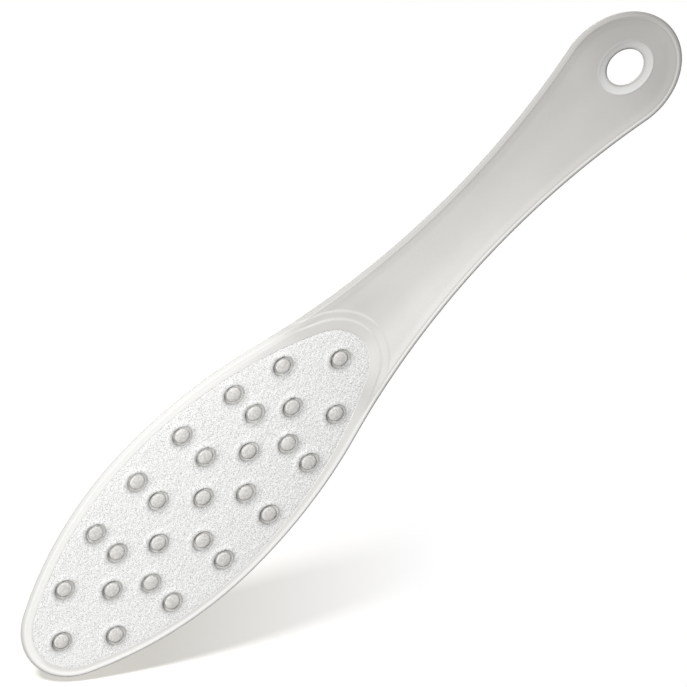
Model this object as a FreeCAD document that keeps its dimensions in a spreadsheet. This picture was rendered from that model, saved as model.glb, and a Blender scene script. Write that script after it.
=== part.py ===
import FreeCAD, Part
import os
import re
from collections import namedtuple

import Sketcher
from FreeCAD import Vector

# A paddle-shaped foot file: one plastic moulding with a leaf-shaped blade, a slim handle and a
# hanging hole, and an abrasive sheet glued into a shallow tray on each side of the blade.
# X runs along the file from the tip to the handle end, Z up out of the coarse side, and the
# origin is under the middle of the file, on the surface that it lies on.

# Driving dimensions in millimetres. A station is measured along the file from the tip, and the
# handle's length from the narrowest place of the neck to the end.
SIZES = {
    "overall_length": 226.0,
    "blade_width": 56.6,
    "blade_station": 57.0,
    "tip_radius": 16.4,
    "neck_width": 22.5,
    "handle_length": 67.3,
    "end_radius": 17.35,
    "edge_thickness": 1.4,
    "web_thickness": 0.8,
    "rim_width": 0.95,
    "handle_recess": 0.2,
    "collar_recess": 0.1,
    "collar_near_gap": 3.2,
    "collar_far_gap": 5.5,
    "hole_diameter": 10.3,
    "hole_inset": 15.2,
    "sink_width": 2.4,
    "sink_depth": 0.25,
    "sheet_margin": 2.9,
    "sheet_thickness": 0.3,
    "film_thickness": 0.05,
    "tray_gap": 0.15,
    "stud_diameter": 4.05,
    "stud_gap": 0.7,
    "stud_rise": 0.4,
    "cut_overrun": 1.0,
}

# Shares chosen by hand: how a curve or a rounding follows the sizes beside it
SHARES = {
    "aft_curve_share": 0.39,
    "sheet_curve_share": 0.826,
    "sheet_reach_share": 0.577,
    "edge_round_share": 0.42,
    "sink_overrun_share": 0.2,
    "stud_round_share": 0.6,
}

# Rows of studs from tip to neck: the row's place as a share of the sheet's half length from its
# middle, then each stud's distance from the centre line as a share of the sheet's half width
STUD_ROW_SHARES = [
    (-0.89, [0.0]),
    (-0.708, [0.436]),
    (-0.569, [0.0]),
    (-0.43, [0.288, 0.652]),
    (-0.276, [0.0]),
    (-0.136, [0.381, 0.738]),
    (0.008, [0.0]),
    (0.15, [0.344, 0.743]),
    (0.297, [0.0]),
    (0.44, [0.287, 0.643]),
    (0.573, [0.0]),
    (0.681, [0.452]),
    (0.876, [0.0]),
]

# Lengths that differ by less than this count as one
TOLERANCE = 1e-6

# Sketch references: the axes and the origin, and the point codes of an edge
X_AXIS = -1
ORIGIN = (-1, 1)
START, END, CENTRE = 1, 2, 3
UP = Vector(0, 0, 1)

doc = FreeCAD.newDocument("foot_file")
sheet = doc.addObject("Spreadsheet::Sheet", "sizes")
for row, (alias, number) in enumerate({**SIZES, **SHARES}.items(), start=1):
    sheet.set(f"A{row}", alias)
    sheet.set(f"B{row}", str(number))
    sheet.setAlias(f"B{row}", alias)
doc.recompute()


def bound(formula):
    """The formula as an expression: every word in it is a size read from the sheet."""
    return re.sub(r"[a-z_]+", lambda word: f"{sheet.Name}.{word.group()}", formula)


def value(formula):
    """The number that a formula of sheet sizes comes to."""
    return float(sheet.evalExpression(bound(formula)))


# Outline of the paddle, as circles that touch their neighbours. The blade's two side curves
# meet at its widest station and the neck's two curves at its narrowest, both level there.
half_blade = "(blade_width / 2)"
half_neck = "(neck_width / 2)"
fore_radius = (f"((blade_station^2 + {half_blade}^2 - 2 * tip_radius * blade_station)"
               f" / (2 * ({half_blade} - tip_radius)))")
neck_station = "(overall_length - handle_length)"
waist_run = f"({neck_station} - blade_station)"
waist_drop = f"({half_blade} - {half_neck})"
waist_radii = f"(({waist_run}^2 + {waist_drop}^2) / (2 * {waist_drop}))"
aft_radius = f"({waist_radii} * aft_curve_share)"
neck_fore_radius = f"({waist_radii} * (1 - aft_curve_share))"
end_run = "(handle_length - end_radius)"
neck_rear_radius = (f"(({end_run}^2 + {half_neck}^2 - end_radius^2)"
                    f" / (2 * (end_radius - {half_neck})))")

# side is 1 where the circle lies inside the outline, -1 where it lies outside
Circle = namedtuple("Circle", "name x y radius side")
PADDLE = [
    Circle("tip", "tip_radius", "0", "tip_radius", 1),
    Circle("fore", "blade_station", f"{half_blade} - {fore_radius}", fore_radius, 1),
    Circle("aft", "blade_station", f"{half_blade} - {aft_radius}", aft_radius, 1),
    Circle("neck_fore", neck_station, f"{half_neck} + {neck_fore_radius}", neck_fore_radius, -1),
    Circle("neck_rear", neck_station, f"{half_neck} + {neck_rear_radius}", neck_rear_radius, -1),
    Circle("end", "overall_length - end_radius", "0", "end_radius", 1),
]

# Outline of the abrasive sheet: it keeps the margin from the paddle's edge round the tip, and
# behind the widest station it closes in faster than the paddle does
sheet_half_width = f"({half_blade} - sheet_margin)"
sheet_aft_radius = f"({aft_radius} * sheet_curve_share)"
sheet_reach = f"({waist_run} * sheet_reach_share)"
sheet_drop = f"({sheet_aft_radius} - {sheet_half_width})"
sheet_end_radius = (f"(({sheet_aft_radius}^2 - {sheet_reach}^2 - {sheet_drop}^2)"
                    f" / (2 * ({sheet_aft_radius} - {sheet_reach})))")
sheet_end = f"(blade_station + {sheet_reach})"
LEAF = [
    Circle("tip", "tip_radius", "0", "(tip_radius - sheet_margin)", 1),
    Circle("fore", "blade_station", f"{half_blade} - {fore_radius}",
           f"({fore_radius} - sheet_margin)", 1),
    Circle("aft", "blade_station", f"{sheet_half_width} - {sheet_aft_radius}", sheet_aft_radius, 1),
    Circle("end", f"{sheet_end} - {sheet_end_radius}", "0", sheet_end_radius, 1),
]
sheet_middle = f"(({sheet_end} + sheet_margin) / 2)"
sheet_half_length = f"(({sheet_end} - sheet_margin) / 2)"

# Levels in the paddle, measured from its middle plane
crest = "(edge_thickness / 2)"
tray_floor = "(web_thickness / 2)"
above_crest = f"({crest} + cut_overrun)"

# The layers that lie on each side of the web
layers = "(film_thickness + sheet_thickness)"
hole_station = "(overall_length - hole_inset)"


def origin_plane(body, role):
    """The body's own origin plane of that role."""
    return next(item for item in body.Origin.OriginFeatures if item.Role == role)


def new_sketch(body, name, height):
    """An empty level sketch in the body, at a height given by a formula."""
    sketch = body.newObject("Sketcher::SketchObject", name)
    sketch.AttachmentSupport = (origin_plane(body, "XY_Plane"), [""])
    sketch.MapMode = "FlatFace"
    sketch.setExpression("AttachmentOffset.Base.z", bound(height))
    return sketch


def constrain(sketch, kind, *places):
    """A constraint that holds places together, without a size."""
    return sketch.addConstraint(Sketcher.Constraint(kind, *places))


def dimension(sketch, name, formula, kind, *places):
    """A named dimension of the sketch, bound to the sheet."""
    index = constrain(sketch, kind, *places, value(formula))
    sketch.renameConstraint(index, name)
    sketch.setExpression(f"Constraints.{name}", bound(formula))


def angle_of(spoke):
    """The direction of a level vector, anticlockwise from +X."""
    turn = Vector(1, 0, 0).getAngle(spoke)
    return turn if spoke.y >= 0 else -turn


def draw_half_outline(sketch, circles, growth):
    """The half of an outline on the +Y side, closed along the X axis and grown by growth."""
    radii = [f"{circle.radius} + ({circle.side}) * ({growth})" for circle in circles]
    centres = [Vector(value(circle.x), value(circle.y), 0) for circle in circles]
    bends = [circle.side * value(radius) for circle, radius in zip(circles, radii)]

    # Two circles touch on the line through their centres
    joints = []
    for centre, bend, next_centre, next_bend in zip(centres, bends, centres[1:], bends[1:]):
        joints.append((centre * next_bend - next_centre * bend) / (next_bend - bend))
    first = centres[0] - Vector(bends[0], 0, 0)
    last = centres[-1] + Vector(bends[-1], 0, 0)

    # An arc runs anticlockwise, so one that bulges outwards starts at its end nearer the handle
    arcs = []
    for circle, centre, bend, left, right in zip(circles, centres, bends, [first, *joints], [*joints, last]):
        bulges = circle.side > 0
        start, stop = (right, left) if bulges else (left, right)
        whole = Part.Circle(centre, UP, abs(bend))
        index = sketch.addGeometry(Part.ArcOfCircle(whole, angle_of(start - centre), angle_of(stop - centre)))
        arcs.append((index, END if bulges else START, START if bulges else END))
    axis = sketch.addGeometry(Part.LineSegment(last, first))

    for (arc, _, right_end), (next_arc, left_end, _) in zip(arcs, arcs[1:]):
        constrain(sketch, "Tangent", arc, right_end, next_arc, left_end)
    first_arc, first_end, _ = arcs[0]
    last_arc, _, last_end = arcs[-1]
    constrain(sketch, "Coincident", axis, START, last_arc, last_end)
    constrain(sketch, "Coincident", axis, END, first_arc, first_end)
    for edge, point in ((axis, START), (axis, END), (first_arc, CENTRE), (last_arc, CENTRE)):
        constrain(sketch, "PointOnObject", edge, point, X_AXIS)
    for circle, radius, (arc, _, _) in zip(circles, radii, arcs):
        dimension(sketch, f"{circle.name}_radius", radius, "Radius", arc)
        if arc != last_arc:
            dimension(sketch, f"{circle.name}_station", circle.x, "DistanceX", *ORIGIN, arc, CENTRE)


def outline_prism(name, circles, growth, bottom, top):
    """A body with a grown outline as its plan, between two levels given by formulas."""
    body = doc.addObject("PartDesign::Body", name)
    sketch = new_sketch(body, f"{name}_outline", bottom)
    draw_half_outline(sketch, circles, growth)
    pad = body.newObject("PartDesign::Pad", f"{name}_pad")
    pad.Profile = sketch
    pad.setExpression("Length", bound(f"{top} - ({bottom})"))
    mirror = body.newObject("PartDesign::Mirrored", f"{name}_mirror")
    mirror.Originals = [pad]
    mirror.MirrorPlane = (origin_plane(body, "XZ_Plane"), [""])
    body.Tip = mirror
    doc.recompute()
    return body


def draw_circle(sketch, x, y, diameter):
    """A circle at a place given by formulas, not yet constrained."""
    whole = Part.Circle(Vector(value(x), value(y), 0), UP, value(diameter) / 2)
    return sketch.addGeometry(whole)


def draw_stud_circles(sketch, diameter):
    """A circle for every stud, the rows placed by their shares of the sheet's half sizes."""
    circles = []
    for row, (row_share, offset_shares) in enumerate(STUD_ROW_SHARES):
        x = f"{sheet_middle} + ({row_share}) * {sheet_half_length}"
        for column, offset_share in enumerate(offset_shares):
            y = f"{offset_share} * {sheet_half_width}"
            name = f"stud_{row}_{column}"
            stud = draw_circle(sketch, x, y, diameter)
            circles.append(stud)
            dimension(sketch, f"{name}_station", x, "DistanceX", *ORIGIN, stud, CENTRE)
            if offset_share == 0:
                constrain(sketch, "PointOnObject", stud, CENTRE, X_AXIS)
                continue
            dimension(sketch, f"{name}_offset", y, "DistanceY", *ORIGIN, stud, CENTRE)
            twin = draw_circle(sketch, x, f"-({y})", diameter)
            circles.append(twin)
            constrain(sketch, "Symmetric", stud, CENTRE, twin, CENTRE, X_AXIS)
    dimension(sketch, "diameter", diameter, "Diameter", circles[0])
    for circle in circles[1:]:
        constrain(sketch, "Equal", circles[0], circle)


def level_edges(shape):
    """The shape's level edges, with their names."""
    named = ((f"Edge{index}", edge) for index, edge in enumerate(shape.Edges, start=1))
    return [(name, edge) for name, edge in named if edge.BoundBox.ZLength < TOLERANCE]


def round_edges(body, name, edges, radius):
    """A fillet on the named edges of the body's last feature."""
    base = body.Tip
    fillet = body.newObject("PartDesign::Fillet", name)
    fillet.Base = (base, edges)
    fillet.setExpression("Radius", bound(radius))
    body.Tip = fillet
    doc.recompute()


def cut_through(body, name, sketch):
    """A pocket through the whole body, both ways from its sketch."""
    volume = body.Shape.Volume
    pocket = body.newObject("PartDesign::Pocket", name)
    pocket.Profile = sketch
    pocket.Type = "ThroughAll"
    pocket.SideType = "Symmetric"
    body.Tip = pocket
    doc.recompute()
    assert body.Shape.Volume < volume, f"{name} cuts nothing"


def make_blank():
    """The paddle before its recesses: a plate with rounded edges and the hanging hole."""
    body = outline_prism("blank", PADDLE, "0", f"-{crest}", crest)
    rims = [name for name, _ in level_edges(body.Shape)]
    round_edges(body, "edge_round", rims, "edge_thickness * edge_round_share")

    sketch = new_sketch(body, "hole_outline", "0")
    circle = draw_circle(sketch, hole_station, "0", "hole_diameter")
    constrain(sketch, "PointOnObject", circle, CENTRE, X_AXIS)
    dimension(sketch, "hole_place", hole_station, "DistanceX", *ORIGIN, circle, CENTRE)
    dimension(sketch, "hole_size", "hole_diameter", "Diameter", circle)
    cut_through(body, "hanging_hole", sketch)
    return body


def make_sink():
    """The countersink of the hanging hole: a cone from the sunk face, run on past the bore's edge."""
    depth = "(sink_depth * (1 + sink_overrun_share))"
    sink = doc.addObject("Part::Cone", "sink")
    sink.setExpression("Radius1", bound("hole_diameter / 2 - sink_width * sink_overrun_share"))
    sink.setExpression("Radius2", bound("hole_diameter / 2 + sink_width"))
    sink.setExpression("Height", bound(depth))
    sink.setExpression("Placement.Base.x", bound(hole_station))
    sink.setExpression("Placement.Base.z", bound(f"{crest} - handle_recess - {depth}"))
    return sink


def combine(kind, name, base, tool):
    """A boolean of two objects."""
    result = doc.addObject(kind, name)
    result.Base = base
    result.Tool = tool
    result.Refine = True
    return result


def make_recess(name, gap, depth):
    """The sunk face of the handle inside the rim, clear of the sheet by gap."""
    floor = f"({crest} - {depth})"
    inside = outline_prism(f"{name}_inside", PADDLE, "-rim_width", floor, above_crest)
    collar = outline_prism(f"{name}_collar", LEAF, gap, floor, above_crest)
    return combine("Part::Cut", name, inside, collar)


def make_studs():
    """The round studs that stand on the coarse side's tray floor, with rounded tops."""
    body = doc.addObject("PartDesign::Body", "studs")
    sketch = new_sketch(body, "stud_outline", "0")
    draw_stud_circles(sketch, "stud_diameter")
    pad = body.newObject("PartDesign::Pad", "stud_pad")
    pad.Profile = sketch
    pad.setExpression("Length", bound(f"{tray_floor} + {layers} + stud_rise"))
    body.Tip = pad
    doc.recompute()
    tops = [name for name, edge in level_edges(body.Shape) if edge.BoundBox.ZMin > TOLERANCE]
    round_edges(body, "stud_round", tops, f"({layers} + stud_rise) * stud_round_share")
    return body


def make_paddle():
    """The moulding: rim, sunk handle faces, a tray on each side, stepped collars and studs."""
    step = make_recess("collar_step", "collar_near_gap", "collar_recess")
    face = make_recess("handle_face", "collar_far_gap", "handle_recess")
    tray = outline_prism("tray", LEAF, "tray_gap", tray_floor, above_crest)
    front = doc.addObject("Part::MultiFuse", "front_recesses")
    front.Shapes = [tray, step, face, make_sink()]
    back = doc.addObject("Part::Mirroring", "back_recesses")
    back.Source = front
    back.Normal = UP
    open_front = combine("Part::Cut", "open_front", make_blank(), front)
    open_back = combine("Part::Cut", "open_back", open_front, back)
    return combine("Part::Fuse", "paddle", open_back, make_studs())


def make_layer(name, thickness, punched):
    """A leaf-shaped layer of film or abrasive, punched for the studs or plain."""
    body = outline_prism(name, LEAF, "0", "0", thickness)
    if punched:
        sketch = new_sketch(body, f"{name}_holes", "0")
        draw_stud_circles(sketch, "stud_diameter + 2 * stud_gap")
        cut_through(body, f"{name}_punching", sketch)
    return body


def place(piece, label, height):
    """Names a finished piece and puts it at its height, with the file's middle at the origin."""
    piece.Label = label
    piece.setExpression("Placement.Base.x", bound("-overall_length / 2"))
    piece.setExpression("Placement.Base.z", bound(height))
    return piece


# The pieces from the surface upwards
front_floor = f"({layers} + web_thickness)"
PIECES = [
    place(make_layer("back_sheet", "sheet_thickness", False), "back_abrasive_sheet", "0"),
    place(make_layer("back_film", "film_thickness", False), "back_adhesive_film", "sheet_thickness"),
    place(make_paddle(), "paddle", f"{layers} + web_thickness / 2"),
    place(make_layer("front_film", "film_thickness", True), "front_adhesive_film", front_floor),
    place(make_layer("front_sheet", "sheet_thickness", True), "front_abrasive_sheet",
          f"{front_floor} + film_thickness"),
]
doc.recompute()

for item in doc.Objects:
    assert not {"Invalid", "Error"} & set(item.State), f"{item.Name} failed"
for piece in PIECES:
    assert not piece.Shape.isNull() and piece.Shape.isValid(), f"{piece.Label} has no valid shape"
    assert len(piece.Shape.Solids) == 1, f"{piece.Label} is not one solid"

os.makedirs("parts", exist_ok=True)
for piece in PIECES:
    piece.Shape.exportStep(f"parts/{piece.Label}.step")
    box = piece.Shape.optimalBoundingBox(False)
    print(f"{piece.Label}: {box.XLength:.2f} x {box.YLength:.2f} x {box.ZLength:.2f} mm,"
          f" z {box.ZMin:.2f} to {box.ZMax:.2f}, volume {piece.Shape.Volume:.1f} mm3")
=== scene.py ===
# %% [markdown]
# # A paddle foot file
#
# The file is one thin moulding of frosted plastic: a leaf-shaped blade, a slim handle and a
# hanging hole. A white abrasive sheet is glued into a shallow tray on each side of the blade,
# and on the coarse side round plastic studs come up through punched holes in the sheet.
#
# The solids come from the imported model. This lesson dresses them: it draws the moulding and the
# two sheets again as finer surfaces, gives every piece its finish, and lights the file.

import bmesh
import bpy
import numpy as np
from mathutils import Matrix, Vector


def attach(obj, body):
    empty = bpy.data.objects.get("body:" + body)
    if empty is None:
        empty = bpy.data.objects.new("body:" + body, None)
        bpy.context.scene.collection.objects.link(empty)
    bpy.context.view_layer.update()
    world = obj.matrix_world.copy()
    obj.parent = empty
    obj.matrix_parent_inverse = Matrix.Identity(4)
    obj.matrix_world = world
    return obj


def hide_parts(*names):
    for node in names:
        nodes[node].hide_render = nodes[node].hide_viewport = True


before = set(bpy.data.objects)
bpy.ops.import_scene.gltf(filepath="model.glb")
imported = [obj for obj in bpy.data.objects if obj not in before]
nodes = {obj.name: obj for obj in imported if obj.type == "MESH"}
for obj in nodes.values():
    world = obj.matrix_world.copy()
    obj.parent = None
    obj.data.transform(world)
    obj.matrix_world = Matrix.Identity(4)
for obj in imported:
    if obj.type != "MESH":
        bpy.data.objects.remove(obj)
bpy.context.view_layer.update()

MM = 0.001
print("solids:", sorted(nodes))

# %% [markdown]
# ## The outline
#
# A leaf with a handle could be drawn as a free curve. A mould maker draws it as circles that
# touch, because such an outline has no kinks and every offset of it is again a row of circles
# round the same centres. So the outline is a table of circles: a centre on the plan and a
# radius, which is negative where the outline bends inwards.

# %% Sizes in millimetres, x counted from the tip
LENGTH = 226.0
HALF_BLADE = 28.3
BLADE_STATION = 57.0
TIP_RADIUS = 16.4
HALF_NECK = 11.25
NECK_STATION = 158.7
END_RADIUS = 17.35
AFT_CURVE_SHARE = 0.39
SHEET_MARGIN = 2.9
SHEET_HALF = HALF_BLADE - SHEET_MARGIN
SHEET_CURVE_SHARE = 0.826
SHEET_REACH_SHARE = 0.577


def row_of_circles():
    """Paddle and sheet outlines as rows of (centre x, centre y, signed radius).
    Two circles touch where the gap between their centres is the difference of their signed radii,
    which gives each radius from the half widths at the stations that it joins."""
    fore = BLADE_STATION**2 + HALF_BLADE**2 - 2 * TIP_RADIUS * BLADE_STATION
    fore /= 2 * (HALF_BLADE - TIP_RADIUS)
    run, drop = NECK_STATION - BLADE_STATION, HALF_BLADE - HALF_NECK
    waist = (run**2 + drop**2) / (2 * drop)
    aft = waist * AFT_CURVE_SHARE
    neck = waist - aft
    end_run = LENGTH - END_RADIUS - NECK_STATION
    rear = (end_run**2 + HALF_NECK**2 - END_RADIUS**2) / (2 * (END_RADIUS - HALF_NECK))
    paddle = [
        (TIP_RADIUS, 0, TIP_RADIUS),
        (BLADE_STATION, HALF_BLADE - fore, fore),
        (BLADE_STATION, HALF_BLADE - aft, aft),
        (NECK_STATION, HALF_NECK + neck, -neck),
        (NECK_STATION, HALF_NECK + rear, -rear),
        (LENGTH - END_RADIUS, 0, END_RADIUS),
    ]
    sheet_aft, reach = aft * SHEET_CURVE_SHARE, run * SHEET_REACH_SHARE
    sheet_end = sheet_aft**2 - reach**2 - (sheet_aft - SHEET_HALF) ** 2
    sheet_end /= 2 * (sheet_aft - reach)
    sheet = [
        (TIP_RADIUS, 0, TIP_RADIUS - SHEET_MARGIN),
        (BLADE_STATION, HALF_BLADE - fore, fore - SHEET_MARGIN),
        (BLADE_STATION, SHEET_HALF - sheet_aft, sheet_aft),
        (BLADE_STATION + reach - sheet_end, 0, sheet_end),
    ]
    return np.array(paddle, float), np.array(sheet, float)


PADDLE, LEAF = row_of_circles()
SHEET_END = LEAF[-1, 0] + LEAF[-1, 2]
print("circles of the paddle:", PADDLE.round(2).tolist())
print("circles of the sheet:", LEAF.round(2).tolist())


# %% Distance inside an outline
def joints_of(circles):
    """Where neighbours touch: (c1 b2 - c2 b1) / (b2 - b1), with the outline's two ends added."""
    centre, bend = circles[:, :2], circles[:, 2:]
    joints = (centre[:-1] * bend[1:] - centre[1:] * bend[:-1]) / (bend[1:] - bend[:-1])
    first = centre[0] - [bend[0, 0], 0]
    last = centre[-1] + [bend[-1, 0], 0]
    return np.vstack([first, joints, last])


def inside(circles, x, y):
    """Distance inside the outline, negative outside: radius less the distance to the centre, taken
    from each circle only where the nearest point on it lies between its two joints."""
    y = np.abs(y)
    joints = joints_of(circles)
    nearest = np.full(np.shape(x), -1e3)
    gap = np.full(np.shape(x), 1e3)
    for (cx, cy, bend), left, right in zip(circles, joints[:-1, 0], joints[1:, 0]):
        reach = np.hypot(x - cx, y - cy) + 1e-9
        foot = cx + abs(bend) * (x - cx) / reach
        depth = np.sign(bend) * (abs(bend) - reach)
        side_fits = (y >= cy) if bend > 0 else (y <= cy)
        fits = side_fits & (foot >= left - 1e-6) & (foot <= right + 1e-6) & (np.abs(depth) < gap)
        gap = np.where(fits, np.abs(depth), gap)
        nearest = np.where(fits, depth, nearest)
    return nearest


def half_width(circles, x):
    """Half width at each station: centre y plus or minus the root of r^2 - (x - centre x)^2, from
    the circle whose joints hold the station, and zero beyond the outline's ends."""
    joints = joints_of(circles)[:, 0]
    which = np.clip(np.searchsorted(joints, x) - 1, 0, len(circles) - 1)
    cx, cy, bend = np.moveaxis(circles[which], -1, 0)
    rise = np.sqrt(np.clip(bend**2 - (x - cx) ** 2, 0, None))
    return np.where((x > joints[0]) & (x < joints[-1]), cy + np.sign(bend) * rise, 0.0)


stations = np.array([10.0, BLADE_STATION, 110.0, NECK_STATION, 220.0])
print("half widths:", half_width(PADDLE, stations).round(2).tolist())

# %% [markdown]
# ## The moulding's surface
#
# The upper face is low relief: a rounded edge, a narrow lip, a sunk and slightly dished handle
# face, two shallow steps at the neck that follow the sheet's end, a countersink round the hole,
# and a tray for the sheet. Sculpting or booleans would give hard edges that catch no light.
# Here the height is one formula of three distances, from the outline, from the sheet and from
# the hole, and each step is a smooth ramp, as a mould's polished corner gives.

# %% A smooth step
def ramp(distance, start, width):
    """Smooth rise from 0 to 1 with its middle at start: 3 t^2 - 2 t^3 over the given width."""
    t = np.clip((distance - start) / width + 0.5, 0, 1)
    return t * t * (3 - 2 * t)


print("ramp:", ramp(np.array([-1.0, -0.5, 0.0, 0.5, 1.0]), 0.0, 2.0).round(2).tolist())

# %% Height of the upper face above the middle plane
HALF_EDGE = 0.7
STEP = 0.45
RIM_WIDTH, LIP_DROP = 1.3, 0.08
FACE_AT, FACE_SPAN, FACE_DROP = 2.6, 3.0, 0.12
FLANK_AT, FLANK_SPAN, FLANK_DROP = 1.5, 1.2, 0.05
COLLAR_NEAR, COLLAR_FAR = 3.2, 5.5
DISH, DISH_AT, DISH_SPAN, DISH_LEAST_HALF = 0.18, 12.0, 14.0, 9.0
DISH_LEFT_AT_HOLE, CLEAR_OF_HOLE, CLEAR_SPAN = 0.1, 10.0, 12.0
HOLE_STATION, HOLE_RADIUS = 210.8, 5.15
SINK_WIDTH, SINK_DEPTH = 2.4, 0.3
SINK_LIP, SINK_LIP_REACH = 0.04, 0.5
TRAY_FLOOR, TRAY_WALL = 0.4, 0.14


def face_height(x, y):
    """Crest height less each sunk form: lip and face inside the rim, in two halves beyond the
    collar's steps; the blade's flank; the dish, a parabola across the handle that fades out towards
    the hole; the countersink, a cone with a small lip; and the tray."""
    edge = inside(PADDLE, x, y)
    beyond = -inside(LEAF, x, y)
    spread = np.hypot(x - HOLE_STATION, y) - HOLE_RADIUS
    steps = 0.5 * ramp(beyond, COLLAR_NEAR, STEP) + 0.5 * ramp(beyond, COLLAR_FAR, STEP)
    fall = LIP_DROP * ramp(edge, RIM_WIDTH, STEP) + FACE_DROP * ramp(edge, FACE_AT, FACE_SPAN)
    flank = FLANK_DROP * ramp(edge, FLANK_AT, FLANK_SPAN)
    half = np.maximum(half_width(PADDLE, x), DISH_LEAST_HALF)
    clear = DISH_LEFT_AT_HOLE + (1 - DISH_LEFT_AT_HOLE) * ramp(spread, CLEAR_OF_HOLE, CLEAR_SPAN)
    dish = DISH * np.clip(1 - (y / half) ** 2, 0, 1) * ramp(beyond, DISH_AT, DISH_SPAN) * clear
    sink = SINK_DEPTH * np.clip(1 - spread / SINK_WIDTH, 0, 1)
    from_lip = (spread - SINK_WIDTH) / SINK_LIP_REACH
    sink_lip = SINK_LIP * np.clip(1 - from_lip**2, 0, 1) ** 2
    tray = (HALF_EDGE - FLANK_DROP - TRAY_FLOOR) * (1 - ramp(beyond, 0.0, TRAY_WALL))
    return HALF_EDGE - steps * fall - (1 - steps) * flank - dish - sink + sink_lip - tray


sample = face_height(np.array([10.0, 118.0, 160.0]), np.zeros(3))
print("heights at tip, neck and handle:", sample.round(3).tolist())

# %% [markdown]
# ## Laying the moulding out as grids
#
# A single grid over the whole plan would cut across the rim and the hole and leave ragged
# edges. So the upper half is laid out in three grids that share their borders: a band that
# carries the rim's profile round the outline, chords from side to side across the blade and the
# handle, and rings that run from the end of the handle down into the hole. The lower half is
# the upper one turned over.

# %% Points along the outline
def spacing_at(x):
    """Distance between points at a station: fine round the tip, the collar and the end."""
    station = [0, 16, 30, 98, 104, 125, 131, 188, 200]
    return np.interp(x, station, [0.7, 0.8, 1.1, 1.1, 0.3, 0.3, 0.9, 0.9, 0.6])


def outline_points(circles):
    """Half outline from tip to end with its outward normals. Along each arc the points are read
    off the running sum of length over spacing. An inset by d is each point less d normals."""
    joints = joints_of(circles)
    points, normals = [], []
    for (cx, cy, bend), start, stop in zip(circles, joints[:-1], joints[1:]):
        first = np.arctan2(start[1] - cy, start[0] - cx)
        last = np.arctan2(stop[1] - cy, stop[0] - cx)
        fine = np.linspace(first, last, 2001)
        steps = abs(bend) * np.abs(np.diff(fine)) / spacing_at(cx + abs(bend) * np.cos(fine[1:]))
        count = np.concatenate([[0], np.cumsum(steps)])
        wanted = np.linspace(0, count[-1], int(np.ceil(count[-1])) + 1)[:-1]
        angle = np.interp(wanted, count, fine)
        spoke = np.column_stack([np.cos(angle), np.sin(angle)])
        points.append([cx, cy] + abs(bend) * spoke)
        normals.append(np.sign(bend) * spoke)
    points.append(joints[-1:])
    normals.append([[1.0, 0.0]])
    return np.vstack(points), np.vstack(normals)


rim_points, rim_normals = outline_points(PADDLE)
print("points from tip to end:", len(rim_points))

# %% The band round the outline: a rounded edge, then rows that crowd at the lip and the tray wall
EDGE_ROUND, EDGE_REACH = 0.588, 1.0
turn = np.radians(np.linspace(0, 90, 9))
inner_rows = np.array([1.08, 1.17, 1.26, 1.35, 1.44, 1.53, 1.65, 1.8, 2.1,
                       2.5, 2.7, 2.78, 2.83, 2.88, 2.94, 3.02, 3.15, 3.3, 3.45, 3.6])
band_inset = np.concatenate([[0.0], EDGE_REACH * (1 - np.cos(turn)), inner_rows])
band_drop = np.concatenate([[HALF_EDGE], EDGE_ROUND * (1 - np.sin(turn)), 0 * inner_rows])


def loop_of(half):
    """A closed loop from the half on the +Y side and its mirror image."""
    return np.vstack([half, half[-2:0:-1] * [1, -1]])


band_plan = np.stack([loop_of(rim_points - inset * rim_normals) for inset in band_inset])
band_height = face_height(band_plan[..., 0], band_plan[..., 1]) - band_drop[:, None]
band_height[0] = 0
band = np.dstack([band_plan, band_height])
print("band:", band.shape)

# %% Chords across the blade and the handle, with six points close together at the tray wall
LAST_CHORD_STATION = 191.0
WALL_POINTS = [-0.12, -0.05, 0.0, 0.05, 0.11, 0.25]
half_ring = rim_points - band_inset[-1] * rim_normals
last_chord = int(np.argmin(np.abs(half_ring[:, 0] - LAST_CHORD_STATION)))
chord_x, chord_end = half_ring[1:last_chord + 1].T
leaf_width = half_width(LEAF, chord_x)
# Where a chord has no wall, at the tip and on the handle, these limits keep the six points on it.
least, most = np.minimum(4.0, 0.55 * chord_end), np.maximum(chord_end - 1.2, 0.6 * chord_end)
tray_side = np.clip(leaf_width, least, most)
slant = np.hypot(1, np.clip(np.gradient(leaf_width, chord_x), -2, 2))
cluster = tray_side[:, None] + np.outer(slant * np.minimum(1, chord_end / 4), WALL_POINTS)
floor_part = np.linspace(0, 1, 10) * (cluster[:, :1] - 0.05 * tray_side[:, None])
face_part = cluster[:, -1:] + np.linspace(0, 1, 15)[1:] * (chord_end[:, None] - cluster[:, -1:])
half_chord = np.hstack([floor_part, cluster, face_part])
chord_y = np.hstack([-half_chord[:, :0:-1], half_chord])
chord_x = np.repeat(chord_x[:, None], chord_y.shape[1], axis=1)
chords = np.dstack([chord_x, chord_y, face_height(chord_x, chord_y)])
print("chords:", chords.shape)

# %% Rings round the hole: from the last chord and the band's end to a circle, then into the hole
MOUTH_ROUND = 0.1
end_part = half_ring[last_chord:]
border = np.vstack([end_part, end_part[-2::-1] * [1, -1], chords[-1, 1:-1, :2]])
bearing = np.arctan2(border[:, 1], border[:, 0] - HOLE_STATION)
spoke = np.column_stack([np.cos(bearing), np.sin(bearing)])
slope_rows = np.array([3.1, 2.9, 2.75, 2.6, 2.45, 2.3, 2.15, 1.9, 1.5, 1.0, 0.5, 0.25])
mouth_rows = MOUTH_ROUND * (1 - np.sin(turn[::2]))
mouth_drop = MOUTH_ROUND * (1 - np.cos(turn[::2]))
ring_radii = HOLE_RADIUS + np.concatenate([slope_rows, mouth_rows, [0.0]])
outer_circle = [HOLE_STATION, 0] + ring_radii[0] * spoke
blend_rows = [border + t * (outer_circle - border) for t in np.linspace(0, 1, 9)[:-1]]
turned_rows = [[HOLE_STATION, 0] + radius * spoke for radius in ring_radii]
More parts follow.
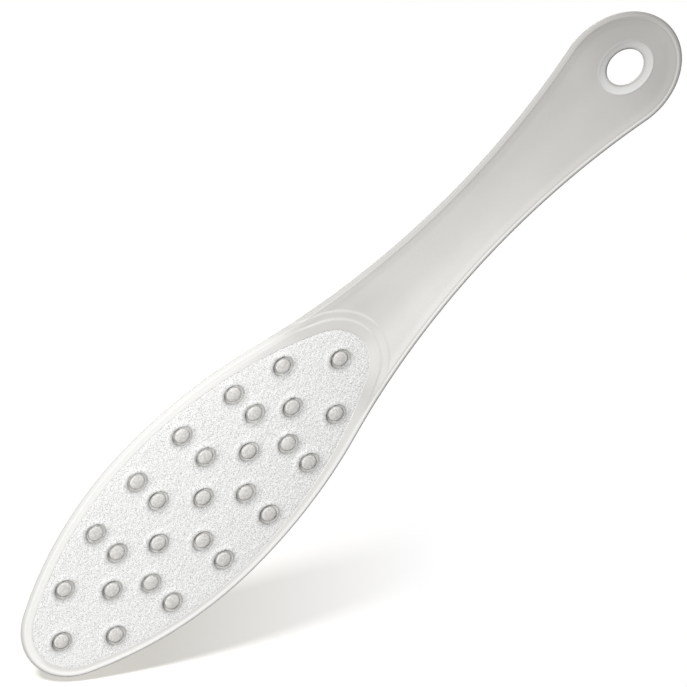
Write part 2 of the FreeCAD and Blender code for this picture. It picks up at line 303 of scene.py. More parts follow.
ring_plan = np.stack(blend_rows + turned_rows)
ring_drop = np.concatenate([np.zeros(len(blend_rows)), 0 * slope_rows, mouth_drop, [HALF_EDGE]])
ring_height = face_height(ring_plan[..., 0], ring_plan[..., 1]) - ring_drop[:, None]
ring_height[-1] = 0
rings = np.dstack([ring_plan, ring_height])
print("rings:", rings.shape)

# %% [markdown]
# ## The studs
#
# The studs stand on the tray floor and rise a little above the sheet. A sphere or a cylinder
# would look like a stuck-on bead, so each stud is a low turned profile: a straight side, a
# rounded shoulder and a slightly domed top. Their places are shares of the sheet's half length
# and half width, in rows from the tip to the neck.

# %% Stud places
STUD_ROWS = [
    (-0.89, [0.0]), (-0.708, [0.436]), (-0.569, [0.0]), (-0.43, [0.288, 0.652]), (-0.276, [0.0]),
    (-0.136, [0.381, 0.738]), (0.008, [0.0]), (0.15, [0.344, 0.743]), (0.297, [0.0]),
    (0.44, [0.287, 0.643]), (0.573, [0.0]), (0.681, [0.452]), (0.876, [0.0]),
]
sheet_middle = (SHEET_END + SHEET_MARGIN) / 2
sheet_half_length = (SHEET_END - SHEET_MARGIN) / 2
stud_places = np.array([
    (sheet_middle + row * sheet_half_length, sign * offset * SHEET_HALF)
    for row, offsets in STUD_ROWS for offset in offsets for sign in ((1, -1) if offset else (1,))
])
print("studs:", len(stud_places))

# %% Stud profile as rows of (radius, height)
STUD_RADIUS, STUD_TOP, STUD_ROOT = 2.025, 1.14, 0.1
SHOULDER_ROUND = 0.34
DOME_RADIUS = 10.0
shoulder = np.radians(np.linspace(0, 72, 6))
shoulder_radii = STUD_RADIUS - SHOULDER_ROUND * (1 - np.cos(shoulder))
shoulder_heights = SHOULDER_ROUND * (np.sin(shoulder) - np.sin(shoulder[-1]))
shoulder_heights += STUD_TOP - shoulder_radii[-1] ** 2 / (2 * DOME_RADIUS)
dome_radii = np.array([1.55, 1.2, 0.8, 0.4])
dome_heights = STUD_TOP - dome_radii**2 / (2 * DOME_RADIUS)
profile = np.vstack([
    [(STUD_RADIUS, TRAY_FLOOR - STUD_ROOT)],
    np.column_stack([shoulder_radii, shoulder_heights]),
    np.column_stack([dome_radii, dome_heights]),
])
print("stud profile:", profile.round(2).tolist())


# %% All studs from the one profile
def grid_faces(index, closed=False):
    """Quads of an index grid, rows by columns; closed joins the last column to the first."""
    if closed:
        index = np.column_stack([index, index[:, :1]])
    corners = [index[:-1, :-1], index[1:, :-1], index[1:, 1:], index[:-1, 1:]]
    return np.stack(corners, axis=-1).reshape(-1, 4)


def turned(profile, places, count):
    """Each profile point (radius, height) carried round a circle at every place. The first ring,
    under the floor, and the last one are each closed by a polygon."""
    around = np.linspace(0, 2 * np.pi, count, endpoint=False)
    circle = np.column_stack([np.cos(around), np.sin(around)])
    plan = profile[:, None, :1] * circle
    one = np.dstack([plan, np.repeat(profile[:, 1:], count, axis=1)])
    shift = np.column_stack([places, np.zeros(len(places))])
    points = (shift[:, None, None, :] + one).reshape(-1, 3)
    index = np.arange(len(points)).reshape(len(places), len(profile), count)
    quads = np.vstack([grid_faces(stud, closed=True) for stud in index])
    return points, [quads, index[:, 0], index[:, -1]]


STUD_SIDES = 28
stud_points, stud_faces = turned(profile, stud_places, STUD_SIDES)
print("stud points:", len(stud_points))

# %% [markdown]
# ## The moulding as one piece
#
# On the real file all of this is one shot of plastic, so the grids become one mesh. Points that
# meet on a shared border are merged, which closes the shell. The studs keep closed shells of
# their own that root in the tray floor. Edges sharper than 60 degrees stay crisp, and everything
# else is shaded smooth.

# %% From grids to a piece
CRISP_ANGLE = np.radians(60)


def joined(parts):
    """Several (points, face arrays) as one, with the faces of each counted on from the last."""
    points, faces, start = [], [], 0
    for part_points, face_arrays in parts:
        points.append(part_points.reshape(-1, 3))
        for face_array in face_arrays:
            faces += (face_array + start).tolist()
        start += len(points[-1])
    return np.vstack(points), faces


def make_piece(name, points, faces, merge=0.0):
    """A mesh object at the origin from millimetre points counted from the tip."""
    place = (points - [LENGTH / 2, 0, 0]) * MM
    mesh = bpy.data.meshes.new(name)
    mesh.from_pydata(place.tolist(), [], faces)
    work = bmesh.new()
    work.from_mesh(mesh)
    if merge:
        bmesh.ops.remove_doubles(work, verts=work.verts, dist=merge * MM)
    bmesh.ops.recalc_face_normals(work, faces=work.faces)
    work.to_mesh(mesh)
    open_edges = sum(len(edge.link_faces) != 2 for edge in work.edges)
    triangles = sum(len(face.verts) - 2 for face in work.faces)
    work.free()
    mesh.shade_smooth()
    mesh.set_sharp_from_angle(angle=CRISP_ANGLE)
    piece = bpy.data.objects.new(name, mesh)
    bpy.context.scene.collection.objects.link(piece)
    print(f"{name}: {triangles} triangles, {open_edges} open edges")
    return piece


print("edges stay crisp above", round(np.degrees(CRISP_ANGLE)), "degrees")

# %% The moulding: upper half, lower half and studs, lifted so that the fine sheet lies at zero
MIDDLE = 0.75
MERGE = 0.002


def index_of(grid):
    """Running numbers of a grid's points, in the grid's own rows and columns."""
    return np.arange(grid[..., 0].size).reshape(grid.shape[:2])


tip_height = face_height(half_ring[:1, 0], half_ring[:1, 1])
tip_fan = np.vstack([np.append(half_ring[0], tip_height), chords[0]])
fan_step = np.arange(1, chords.shape[1])
grids = [
    (band, grid_faces(index_of(band), closed=True)),
    (chords, grid_faces(index_of(chords))),
    (tip_fan, np.column_stack([0 * fan_step, fan_step, fan_step + 1])),
    (rings, grid_faces(index_of(rings), closed=True)),
]
halves = [(grid * np.array([1, 1, flip]), [faces]) for flip in (1, -1) for grid, faces in grids]
moulding_points, moulding_faces = joined(halves + [(stud_points, stud_faces)])
moulding_points += [0, 0, MIDDLE]
moulding = make_piece("moulded_paddle", moulding_points, moulding_faces, merge=MERGE)
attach(moulding, "root")
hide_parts("paddle")

# %% [markdown]
# ## Painted shade and painted light on the plastic
#
# Frosted plastic carries light along inside it. It looks greyer where that light gets lost, at
# its edges and in narrow gaps, and paler where the light comes out. A true scattering shader is
# slow and noisy on a plate this thin. So the piece carries numbers at each point, worked out from
# its place and from the side that the key lamp stands on, which is +Y, and the finish mixes in a
# grey and a white by those numbers: the grey is painted shade and the white is painted light.

# %% Helpers for painting by place
LAMP_WAY = (-0.34, 0.94)  # on the plan, the side of a stud that the lamp stands on


def places_of(piece):
    """The piece's points in millimetres, x counted from the tip."""
    flat = np.empty(3 * len(piece.data.vertices))
    piece.data.vertices.foreach_get("co", flat)
    return (flat.reshape(-1, 3) / MM + [LENGTH / 2, 0, 0]).T


def from_stud(x, y, way=LAMP_WAY):
    """Distance from the axis of the nearest stud, and the share of it that points the given way."""
    reach = np.array([np.hypot(x - hx, y - hy) for hx, hy in stud_places])
    near_x, near_y = np.moveaxis(stud_places[reach.argmin(axis=0)], -1, 0)
    reach = reach.min(axis=0)
    return reach, (way[0] * (x - near_x) + way[1] * (y - near_y)) / np.maximum(reach, 0.01)


def between(value, start, stop, rise, fall):
    """1 between start and stop: a ramp up of the width rise, times one down of the width fall."""
    return ramp(value, start, rise) * (1 - ramp(value, stop, fall))


def paint(piece, name, values):
    """Stores one number per point under a name that a finish can read."""
    stored = piece.data.attributes.new(name, "FLOAT", "POINT")
    stored.data.foreach_set("value", values.astype(np.float32))
    print(f"{name} on {piece.name}: {values.min():.2f} to {values.max():.2f}")


x, y, z = places_of(moulding)
edge = inside(PADDLE, x, y)
beyond = -inside(LEAF, x, y)
from_axis, facing = from_stud(x, y)
to_bore = np.hypot(x - HOLE_STATION, y) - HOLE_RADIUS
print("points of the moulding:", len(x))

# %% Grey: painted shade in the gaps round the studs, at the hole's wall and along the side wall, and soft painted shade on the broad faces
PUNCH_RADIUS = 2.725
BLADE_END = 106.0
# Each tint is a strength times ramps, and each is painted shade but for the faint grey on the stud tops.
# A ramp's numbers are its middle and its width, in millimetres but for facing, which is a share.
# The gap is darkest where the sheet's edge shades it from the lamp.
in_tray = (z > MIDDLE) * (beyond < 0)
on_stud = in_tray * (from_axis < STUD_RADIUS)
stud_gap = in_tray * between(from_axis, STUD_RADIUS, PUNCH_RADIUS + 0.3, 0.4, 0.4)
stud_gap *= 0.42 + 0.5 * ramp(facing, 0.35, 1.3)
# Painted shade: a dark ring at the hole's mouth, wider and darker on the lamp's side.
under_lamp = ramp(y, 2.5, 3.0)
bore = (0.35 + 0.55 * under_lamp) * (1 - ramp(to_bore, 0.25 + 0.2 * under_lamp, 0.3))
# Painted shade: a dark band along the outer edge.
side_wall = 0.42 * (1 - ramp(edge, 0.6, 0.8))
# Painted shade: a thin dark line at the foot of the lip, beyond the collar.
lip_foot = 0.08 * between(edge, 1.6, 1.95, 0.2, 0.3) * ramp(beyond, COLLAR_FAR, 2.0)
# Painted shade: greyer towards the handle's end, where the lamps' light falls off.
handle_end = 0.16 * ramp(x, 207.0, 14.0)
# Painted shade on the +Y side of the handle's face, the lamp's side.
lamp_side = (0.03 + 0.04 * ramp(x, 160.0, 12.0)) * ramp(y, 3.0, 8.0) * ramp(beyond, 4.0, 6.0)
# Painted shade beside the collar on the +Y side.
collar = 0.08 * ramp(y, 4.0, 6.0) * between(x, BLADE_END - 2.0, 126.0, 6.0, 12.0) * ramp(edge, 2.2, 1.2)
# Painted shade on the plastic just outside the sheet's edge.
sheet_line = 0.03 * (1 - ramp(beyond, 0.5, 0.6)) * (beyond > 0)
broad = lip_foot + handle_end + lamp_side + collar + sheet_line
paint(moulding, "grey", np.max([stud_gap, 0.03 * on_stud, bore, side_wall, broad], axis=0))

# %% Flecks: the frosted tops of the studs are speckled
paint(moulding, "fleck", 0.24 * on_stud)

# %% Painted light: highlights on the lip and the collar's steps, and paler plastic on the blade's margin, the countersink and the handle's face
# Painted highlight along the lip, weaker on the handle.
crest = (0.8 - 0.5 * ramp(x, BLADE_END, 10.0)) * between(edge, 1.05, 1.6, 0.2, 0.2)
# Painted light: paler plastic on the blade's margin, more on the +Y side.
upper_side = ramp(y, 0.0, 6.0)
upper_flank = 0.8 - (0.3 + 0.35 * ramp(x, BLADE_END - 12.0, 12.0)) * ramp(edge, 2.3, 0.8)
lower_flank = 0.8 - (0.72 - 0.3 * ramp(x, 48.0, 24.0)) * ramp(edge, 1.8, 0.9)
flank = upper_side * upper_flank + (1 - upper_side) * lower_flank
flank *= (1 - ramp(x, BLADE_END - 3.0, 10.0)) * ramp(beyond, 0.0, 0.3)
# Painted highlights along the collar's two steps, stronger on the +Y side.
step_lines = [np.exp(-((beyond - step) / 0.25) ** 2) for step in (COLLAR_NEAR, COLLAR_FAR)]
step_lines = 0.6 * np.max(step_lines, axis=0) * ramp(x, BLADE_END, 10.0)
step_lines *= 0.45 + 0.55 * ramp(y, 0.0, 14.0)
# Painted light in the countersink.
countersink = 0.85 * between(to_bore, 0.5, SINK_WIDTH, 0.4, 0.3)
# Painted light: paler plastic on the -Y side of the neck and across the middle of the handle's face.
on_face = ramp(edge, 1.9, 0.4)
neck = 0.5 * on_face * (1 - ramp(y, -3.0, 8.0)) * between(x, BLADE_END + 3.0, 158.0, 10.0, 60.0)
hold = 0.16 * on_face * between(x, 132.0, 186.0, 20.0, 30.0)
handle = neck + hold * (1 - neck)
paint(moulding, "painted_light", np.max([crest, flank, step_lines, countersink, handle], axis=0))

# %% [markdown]
# ## The abrasive sheets
#
# The sheets are grit glued on a backing. Bump alone leaves the edges of the sheet and of its
# punched holes as clean as paper, so the grains are real relief. A square grid is laid over
# the leaf, the points nearest to an edge are drawn onto it, and every kept point is raised by
# its own grain. Top and bottom share one plan, so a wall of quads along the open edges closes it.

# %% Plan of a sheet. Real grains are finer; the grid is as coarse as it must be to show them
GRID = 0.33


def sheet_plan(holes, hole_radius):
    """Square grid over the leaf. Points within half a cell of an edge move onto it along the
    slope of the distance. Gives x, y, the distance inside the edges and which points are kept."""
    along = np.arange(SHEET_MARGIN - 2 * GRID, SHEET_END + 2 * GRID, GRID)
    across = np.arange(-SHEET_HALF - 2 * GRID, SHEET_HALF + 2 * GRID, GRID)
    x, y = np.meshgrid(along, across, indexing="ij")
    room = inside(LEAF, x, y)
    for hx, hy in holes:
        room = np.minimum(room, np.hypot(x - hx, y - hy) - hole_radius)
    slope_x, slope_y = np.gradient(room, GRID)
    near = np.abs(room) < 0.5 * GRID
    steep = np.maximum(np.hypot(slope_x, slope_y), 0.5)
    x = np.where(near, x - room * slope_x / steep**2, x)
    y = np.where(near, y - room * slope_y / steep**2, y)
    kept = near | (room > 0)
    return x, y, np.where(near, 0, room), kept


print("cells across the sheet:", round(2 * SHEET_HALF / GRID))


# %% Faces of a sheet
def sheet_faces(kept):
    """Quads of the kept grid where all four corners are kept, triangles where three are, and the
    open edges, which are in one face only."""
    index = np.arange(kept.size).reshape(kept.shape)
    quads = grid_faces(index)
    corners = kept.reshape(-1)[quads]
    whole = quads[corners.all(axis=1)]
    three = corners.sum(axis=1) == 3
    triangles = quads[three][corners[three]].reshape(-1, 3)
    edges = np.vstack([whole[:, [k, (k + 1) % 4]] for k in range(4)]
                      + [triangles[:, [k, (k + 1) % 3]] for k in range(3)])
    _, where, count = np.unique(np.sort(edges, axis=1), axis=0, return_index=True, return_counts=True)
    return whole, triangles, edges[where[count == 1]]


four_cells = np.ones((3, 3), bool)
print("open edges of four cells:", len(sheet_faces(four_cells)[2]))

# %% The coarse sheet, pushed up round the studs, and the fine one, whose grit faces down
MOUND_REACH = 0.95
WORN, WORN_AT, WORN_SPAN = 0.35, 0.5, 0.9


def make_sheet(name, holes, base, face, grain, mound, seed):
    """The sheet between its glued side at base and its grit side at face. Grains rise above face by
    up to grain, each with its own height, and thin out along the edges. Round a stud the sheet is
    pushed up by mound exp(-(d / reach)^2), where d is the distance from the punched edge."""
    x, y, room, kept = sheet_plan(holes, PUNCH_RADIUS)
    height = np.random.default_rng(seed).random(x.shape)
    worn = WORN + (1 - WORN) * ramp(room, WORN_AT, WORN_SPAN)
    pushed = mound * np.exp(-((from_stud(x, y)[0] - PUNCH_RADIUS) / MOUND_REACH) ** 2)
    top = np.column_stack([x.ravel(), y.ravel(), (face + grain * height * worn + pushed).ravel()])
    bottom = np.column_stack([x.ravel(), y.ravel(), np.full(x.size, base)])
    whole, triangles, edges = sheet_faces(kept)
    below = x.size
    walls = np.column_stack([edges[:, 0], edges[:, 1], edges[:, 1] + below, edges[:, 0] + below])
    faces = [whole, triangles, whole[:, ::-1] + below, triangles[:, ::-1] + below, walls]
    used = np.unique(np.concatenate([corners.ravel() for corners in faces]))
    renumber = np.full(2 * below, -1)
    renumber[used] = np.arange(len(used))
    points, faces = joined([(np.vstack([top, bottom])[used], [renumber[corners] for corners in faces])])
    return make_piece(name, points, faces)


coarse = make_sheet("coarse_sheet", stud_places, base=1.2, face=1.37, grain=0.13, mound=0.25, seed=11)
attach(coarse, "root")
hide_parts("front_abrasive_sheet")
no_holes = np.zeros((0, 2))
fine = make_sheet("fine_sheet", no_holes, base=0.3, face=0.08, grain=-0.08, mound=0.0, seed=12)
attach(fine, "root")
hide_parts("back_abrasive_sheet")

# %% Painted shade on the grit: a dark edge round each punched hole, and a soft band on the side where the sheet turns away
SHADE_WAY = (-0.8, 0.6)  # on the plan, the side of a stud on which the soft shade lies
x, y, _ = places_of(coarse)
from_axis, facing = from_stud(x, y)
_, turned_off = from_stud(x, y, way=SHADE_WAY)
from_rim = from_axis - PUNCH_RADIUS
# Painted shade: a dark edge round each punched hole, darker on the side away from the lamp.
edge_shade = (0.42 + 0.28 * (1 - ramp(facing, -0.05, 0.7))) * (1 - ramp(from_rim, 0.27, 0.44))
# Painted shade: a soft band on the side where the sheet turns away from the lamp.
soft = (0.08 + 0.37 * ramp(turned_off, 0.5, 0.6)) * (1 - ramp(from_rim, 0.8, 1.5))
paint(coarse, "grey", np.minimum(edge_shade + soft, 1.0))
paint(fine, "grey", np.zeros(len(fine.data.vertices)))

# %% [markdown]
# ## Finishes
#
# Every finish starts from the real material. One helper adds a node and links it, and one
# function turns the sRGB colours that a picker shows into the linear ones that Blender mixes.

# %% Helpers for node materials
def linear(code):
    """sRGB hex to linear RGBA: c / 12.92 below 0.04045, else ((c + 0.055) / 1.055) ^ 2.4."""
    c = np.array([int(code[k:k + 2], 16) for k in (1, 3, 5)]) / 255
    return (*np.where(c <= 0.04045, c / 12.92, ((c + 0.055) / 1.055) ** 2.4).tolist(), 1.0)


def add(tree, kind, inputs=None, **settings):
    """Adds a node, sets its properties, then fills each named input with a value or a link."""
    node = tree.nodes.new(kind)
    for name, setting in settings.items():
        setattr(node, name, setting)
    for name, value in (inputs or {}).items():
        if isinstance(value, bpy.types.NodeSocket):
            tree.links.new(value, node.inputs[name])
        else:
            node.inputs[name].default_value = value
    return node


def new_finish(name):
    """An empty node material, its tree, its object coordinates and its shader."""
    finish = bpy.data.materials.new(name)
    finish.use_nodes = True
    tree = finish.node_tree
    tree.nodes.clear()
    shader = add(tree, "ShaderNodeBsdfPrincipled")
    add(tree, "ShaderNodeOutputMaterial", {"Surface": shader.outputs["BSDF"]})
    place = add(tree, "ShaderNodeTexCoord").outputs["Object"]
    return finish, tree, place, shader


def per_metre(size_mm):
    """Noise scale that gives features of about this size: one over the size in metres."""
    return 1 / (size_mm * MM)


print("mid grey:", [round(value, 3) for value in linear("#808080")])

# %% [markdown]
# ### Frosted polypropylene, moulded in a spark-eroded mould
#
# The mould's spark texture frosts the plastic: the eye gets a milky, slightly warm grey and a
# wide, dull sheen with no sharp reflection. Slow clouds vary the milk, and the spark texture
# varies the dullness. A real spark texture is finer than 0.1 mm; it is drawn at 0.5 mm, which is
# as coarse as it needs to be to show. The painted numbers mix in a near white, which is painted
# light, and a dark grey, which is painted shade and also draws the flecks on the stud tops.

# %% Frosted polypropylene
CLOUD_MM, SPARK_MM = 14.0, 0.5
RELIEF = 0.0002
plastic, tree, place, shader = new_finish("frosted_polypropylene_moulded")
cloud = add(tree, "ShaderNodeTexNoise", {"Vector": place, "Scale": per_metre(CLOUD_MM), "Detail": 3.0})
milk = add(tree, "ShaderNodeMix", {"Factor": cloud.outputs["Fac"], "A": linear("#DAD8D4"),
                                   "B": linear("#E4E2DE")}, data_type="RGBA")
spark = add(tree, "ShaderNodeTexNoise", {"Vector": place, "Scale": per_metre(SPARK_MM), "Detail": 2.0})
grey = add(tree, "ShaderNodeAttribute", attribute_name="grey")
fleck = add(tree, "ShaderNodeAttribute", attribute_name="fleck")
dots = add(tree, "ShaderNodeMapRange", {"Value": spark.outputs["Fac"], "From Min": 0.4, "From Max": 0.6})
# Painted shade from the grey numbers, plus the speckled flecks on the stud tops.
shade = add(tree, "ShaderNodeMath", {0: dots.outputs["Result"], 1: fleck.outputs["Fac"],
                                     2: grey.outputs["Fac"]}, operation="MULTIPLY_ADD")
# Painted light: the plastic is mixed towards near white by the painted numbers of light.
painted_light = add(tree, "ShaderNodeAttribute", attribute_name="painted_light")
pale = add(tree, "ShaderNodeMix", {"Factor": painted_light.outputs["Fac"], "A": milk.outputs["Result"],
                                   "B": linear("#FCFCFA")}, data_type="RGBA")
# Painted shade: mixed towards dark grey, which also gives the flecks their colour.
tint = add(tree, "ShaderNodeMix", {"Factor": shade.outputs["Value"], "A": pale.outputs["Result"],
                                   "B": linear("#5C5B5A")}, data_type="RGBA")
dull = add(tree, "ShaderNodeMapRange", {"Value": spark.outputs["Fac"], "To Min": 0.36, "To Max": 0.5})
frost = add(tree, "ShaderNodeBump", {"Height": spark.outputs["Fac"], "Strength": 0.05, "Distance": RELIEF})
for socket, value in {"Base Color": tint.outputs["Result"], "Roughness": dull.outputs["Result"],
                      "Normal": frost.outputs["Normal"]}.items():
    tree.links.new(value, shader.inputs[socket])
shader.inputs["IOR"].default_value = 1.49
moulding.data.materials.append(plastic)
print("finish:", plastic.name)

# %% [markdown]
# ### White fused alumina grit in resin
#
# Broken grains scatter light every way, so the eye gets a dry, dead matt white with shade in the gaps
# between the grains. Cells give the gaps their painted shade, and a noise gives the bump. Real grains
# are about 0.1 to 0.2 mm; they are drawn at 0.32 and 0.26 mm, as coarse as they need to be to show.

# %% White alumina grit, coarse and fine
GRIT_ROUGHNESS = 0.85


def grit_finish(name, pale, gap, grain_mm, strength):
    """Pale grains and painted shade in the gaps between them, from cells of the grain's size, mixed
    with a painted shade grey where the grey numbers ask for it; a noise 1.6 times as coarse as the grains
    drives the bump."""
    finish, tree, place, shader = new_finish(name)
    cells = add(tree, "ShaderNodeTexVoronoi", {"Vector": place, "Scale": per_metre(grain_mm)})
    speck = add(tree, "ShaderNodeTexNoise", {"Vector": place, "Scale": per_metre(grain_mm * 1.6),
                                             "Detail": 3.0})
    # Painted shade in the gaps between the grains.
    hollow = add(tree, "ShaderNodeMapRange", {"Value": cells.outputs["Distance"],
                                              "From Min": 0.4, "From Max": 0.8})
    tint = add(tree, "ShaderNodeMix", {"Factor": hollow.outputs["Result"], "A": linear(pale),
                                       "B": linear(gap)}, data_type="RGBA")
    grey = add(tree, "ShaderNodeAttribute", attribute_name="grey")
    # Painted shade where the grey numbers ask for it.
    shaded = add(tree, "ShaderNodeMix", {"Factor": grey.outputs["Fac"], "A": tint.outputs["Result"],
                                         "B": linear("#9C9C9A")}, data_type="RGBA")
    bump = add(tree, "ShaderNodeBump", {"Height": speck.outputs["Fac"], "Strength": strength,
                                        "Distance": RELIEF})
    for socket, value in {"Base Color": shaded.outputs["Result"], "Normal": bump.outputs["Normal"]}.items():
        tree.links.new(value, shader.inputs[socket])
    shader.inputs["Roughness"].default_value = GRIT_ROUGHNESS
    print("finish:", name)
    return finish


coarse.data.materials.append(grit_finish("white_alumina_grit_coarse", "#FBFBFA", "#CCCCCB", 0.32, 0.35))
fine.data.materials.append(grit_finish("white_alumina_grit_fine", "#F2F2EF", "#C8C8C4", 0.26, 0.3))

# %% [markdown]
# ### Acrylic adhesive film, coated on the sheet
#
# The film is hidden between the sheet and the tray. Where a sheet lifts, the eye would get a
# faintly yellow, half glossy layer with soft clouds, so the finish is no more than that.

# %% Acrylic adhesive film
glue, tree, place, shader = new_finish("acrylic_adhesive_film")
wet = add(tree, "ShaderNodeTexNoise", {"Vector": place, "Scale": per_metre(3.0), "Detail": 2.0})
clear = add(tree, "ShaderNodeMix", {"Factor": wet.outputs["Fac"], "A": linear("#E6E4DA"),
                                    "B": linear("#DAD8CC")}, data_type="RGBA")
tree.links.new(clear.outputs["Result"], shader.inputs["Base Color"])
shader.inputs["Roughness"].default_value = 0.4
for film in ("front_adhesive_film", "back_adhesive_film"):
    for film_slot in nodes[film].material_slots:
        film_slot.material = glue
print("finish:", glue.name)

# %% [markdown]
# ## Camera and floor
#
# The photograph looks at the coarse side from far away, with the file turned to run from the
# lower left to the upper right. It stands on its tip on a white floor. The file could be stood up
# to match, but it keeps its own place here, so the camera is turned and the floor is tilted: it
# touches the tip and lies at the angle at which the picture shows it.

# %% Camera, with directions and scale fitted to the outline in the picture
PICTURE = 687
PIXELS_PER_MM = 3.995
VIEW_DISTANCE = 7.0
FAR_CLIP = 100.0
picture_right = Vector((0.70127, -0.57435, 0.42231)).normalized()
toward_camera = Vector((0.05093, 0.63123, 0.77392)).normalized()
picture_up = toward_camera.cross(picture_right).normalized()
picture_right = picture_up.cross(toward_camera)
middle_pixel = (350.95, 345.0)
off_right = (PICTURE / 2 - middle_pixel[0]) / PIXELS_PER_MM
off_up = (middle_pixel[1] - PICTURE / 2) / PIXELS_PER_MM
aim = Vector((0, 0, MIDDLE * MM)) + (picture_right * off_right + picture_up * off_up) * MM
camera = bpy.data.objects.new("camera", bpy.data.cameras.new("camera"))
camera.data.sensor_width = 36.0
camera.data.lens = camera.data.sensor_width * VIEW_DISTANCE / (PICTURE / PIXELS_PER_MM * MM)
camera.data.clip_end = FAR_CLIP
turn_to = Matrix((picture_right, picture_up, toward_camera)).transposed()
camera.matrix_world = Matrix.Translation(aim + toward_camera * VIEW_DISTANCE) @ turn_to.to_4x4()
bpy.context.scene.collection.objects.link(camera)
bpy.context.scene.camera = camera
print("lens:", round(camera.data.lens, 1), "aim:", [round(v, 4) for v in aim])

# %% Floor, just under the lowest point of the tip
FLOOR_TILT = np.radians(6.74)
FLOOR_BELOW = 0.0021
FLOOR_HALF = 3.0
floor_normal = (picture_up * np.cos(FLOOR_TILT) + toward_camera * np.sin(FLOOR_TILT)).normalized()
whole_rim = np.vstack([rim_points, rim_points * [1, -1]]) - [LENGTH / 2, 0]
above = whole_rim[:, 0] * floor_normal.x + whole_rim[:, 1] * floor_normal.y
lowest = whole_rim[int(np.argmin(above))]
foot = Vector((lowest[0] * MM, lowest[1] * MM, MIDDLE * MM)) - floor_normal * FLOOR_BELOW
side = picture_right * FLOOR_HALF
depth = floor_normal.cross(picture_right).normalized() * FLOOR_HALF
corners = [foot - side - depth, foot + side - depth, foot + side + depth, foot - side + depth]
floor_mesh = bpy.data.meshes.new("floor")
floor_mesh.from_pydata([tuple(corner) for corner in corners], [], [(0, 1, 2, 3)])
if floor_mesh.polygons[0].normal.dot(floor_normal) < 0:
    floor_mesh.flip_normals()
floor = bpy.data.objects.new("floor", floor_mesh)
bpy.context.scene.collection.objects.link(floor)
print("foot of the file on the floor:", [round(v, 4) for v in foot])

# %% [markdown]
# ## White paper
#
# Matt white paper takes a soft shadow. Lamps strong enough to make it pure white would wash out
# the file, so the paper has a lift of its own that only the eye sees: it lights nothing else. The
# shadow fades out to the right, as it does in the photograph, and seen from behind the paper is
# clear, so that it hides nothing in the other views.

# %% Paper, with a lift that only the eye sees
def seen_by_eye(tree):
    """1 for rays from the camera, from gloss or through glass, 0 for rays that light other things."""
    path = add(tree, "ShaderNodeLightPath")
    mirror = add(tree, "ShaderNodeMath", {0: path.outputs["Is Camera Ray"],
                                          1: path.outputs["Is Glossy Ray"]}, operation="MAXIMUM")
    eye = add(tree, "ShaderNodeMath", {0: mirror.outputs["Value"],
                                       1: path.outputs["Is Transmission Ray"]}, operation="MAXIMUM")
    return eye.outputs["Value"]


PAPER_LIFT = 0.387
paper = bpy.data.materials.new("white_paper_matt")
paper.use_nodes = True
tree = paper.node_tree
tree.nodes.clear()
eye = seen_by_eye(tree)
tone = add(tree, "ShaderNodeMix", {"Factor": eye, "A": linear("#9A9A9A"), "B": linear("#F3F3F3")},
           data_type="RGBA")
matt = add(tree, "ShaderNodeBsdfDiffuse", {"Color": tone.outputs["Result"]})
lift = add(tree, "ShaderNodeMath", {0: eye, 1: PAPER_LIFT}, operation="MULTIPLY")
lifted = add(tree, "ShaderNodeEmission", {"Color": linear("#FFFAEE"), "Strength": lift.outputs["Value"]})
lit = add(tree, "ShaderNodeAddShader", {0: matt.outputs["BSDF"], 1: lifted.outputs["Emission"]})
print("lift:", PAPER_LIFT)

# %% Fade of the shadow, in metres: along the picture for the eye, by distance for bounced light
SHADOW_FADE = (0.020, 0.093)
BOUNCE_FADE = (0.045, 0.13)
spot = add(tree, "ShaderNodeTexCoord").outputs["Object"]
away = add(tree, "ShaderNodeVectorMath", {0: spot, 1: foot}, operation="DISTANCE")
along = add(tree, "ShaderNodeVectorMath", {0: spot, 1: picture_right}, operation="DOT_PRODUCT")
foot_along = foot.dot(picture_right)
near = add(tree, "ShaderNodeMapRange", {"Value": away.outputs["Value"], "From Min": BOUNCE_FADE[0],
                                        "From Max": BOUNCE_FADE[1]})
far = add(tree, "ShaderNodeMapRange", {"Value": along.outputs["Value"],
                                       "From Min": foot_along + SHADOW_FADE[0],
                                       "From Max": foot_along + SHADOW_FADE[1]})
fade = add(tree, "ShaderNodeMix", {"Factor": eye, "A": near.outputs["Result"], "B": far.outputs["Result"]})
white = add(tree, "ShaderNodeEmission", {"Color": (1, 1, 1, 1), "Strength": eye})
sweep = add(tree, "ShaderNodeMixShader", {0: fade.outputs["Result"], 1: lit.outputs["Shader"],
                                          2: white.outputs["Emission"]})
behind = add(tree, "ShaderNodeNewGeometry").outputs["Backfacing"]
through = add(tree, "ShaderNodeBsdfTransparent").outputs["BSDF"]
show = add(tree, "ShaderNodeMixShader", {0: behind, 1: sweep.outputs["Shader"], 2: through})
add(tree, "ShaderNodeOutputMaterial", {"Surface": show.outputs["Shader"]})
floor.data.materials.append(paper)
print("finish:", paper.name)

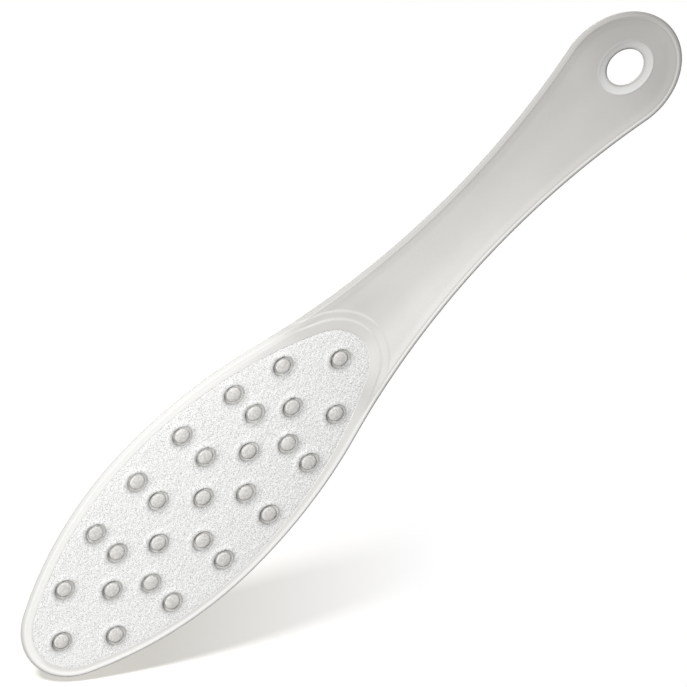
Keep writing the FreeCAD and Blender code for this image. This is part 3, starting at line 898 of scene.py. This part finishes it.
# %% [markdown]
# ## Light
#
# The picture has soft light from in front, a little from the upper left, and a plain white room.
# One lamp for all would tie the file's shading to the floor's shadow. So the floor has a lamp of
# its own, which sets the shadow's direction, and the file has the rest: a key lamp, a small fill
# on the blade, and a weak lamp from below for the views of the fine side. The key lamp gives no
# glare of its own, which would turn the flat face white when seen low from the other side.

# %% Room light: dim for what it lights, white for the eye
ROOM = 0.26
world = bpy.data.worlds.new("studio")
bpy.context.scene.world = world
world.use_nodes = True
tree = world.node_tree
tree.nodes.clear()
level = add(tree, "ShaderNodeMapRange", {"Value": seen_by_eye(tree), "To Min": ROOM, "To Max": 1.0})
sky = add(tree, "ShaderNodeBackground", {"Color": (1, 1, 1, 1), "Strength": level.outputs["Result"]})
add(tree, "ShaderNodeOutputWorld", {"Surface": sky.outputs["Background"]})
bpy.context.scene.view_settings.view_transform = "Standard"
print("room light:", ROOM)

# %% Lamps
lit_pieces = bpy.data.collections.new("lit_pieces")
for piece in (moulding, coarse, fine):
    lit_pieces.objects.link(piece)
stage_pieces = bpy.data.collections.new("stage_pieces")
stage_pieces.objects.link(floor)


def lamp(name, kind, way, energy, only, aim=(0, 0, 0), distance=1.0, mirrored=True, **settings):
    """A lamp that stands the given way from its aim, at a distance, and shines at it. It lights only
    one collection. With mirrored off it lights without a glare of its own."""
    data = bpy.data.lights.new(name, kind)
    data.energy = energy
    for key, value in settings.items():
        setattr(data, key, value)
    way = Vector(way).normalized()
    facing_aim = way.to_track_quat("Z", "Y").to_matrix().to_4x4()
    made = bpy.data.objects.new(name, data)
    made.matrix_world = Matrix.Translation(Vector(aim) + way * distance) @ facing_aim
    made.visible_glossy = mirrored
    made.light_linking.receiver_collection = only
    bpy.context.scene.collection.objects.link(made)
    print("lamp:", name)


lamp("key_sun", "SUN", (0, 0.866, 0.5), 2.9, lit_pieces, mirrored=False, angle=np.radians(12))
lamp("floor_sun", "SUN", (0.113, 0.758, 0.642), 5.4, stage_pieces, angle=np.radians(4))
lamp("blade_fill", "AREA", (-0.1, 0.62, 0.78), 0.15, lit_pieces, aim=(-0.013, 0, 0), distance=0.17,
     shape="DISK", size=0.12)
lamp("under_sun", "SUN", (0.3, 0.25, -0.92), 1.2, lit_pieces, angle=np.radians(40))
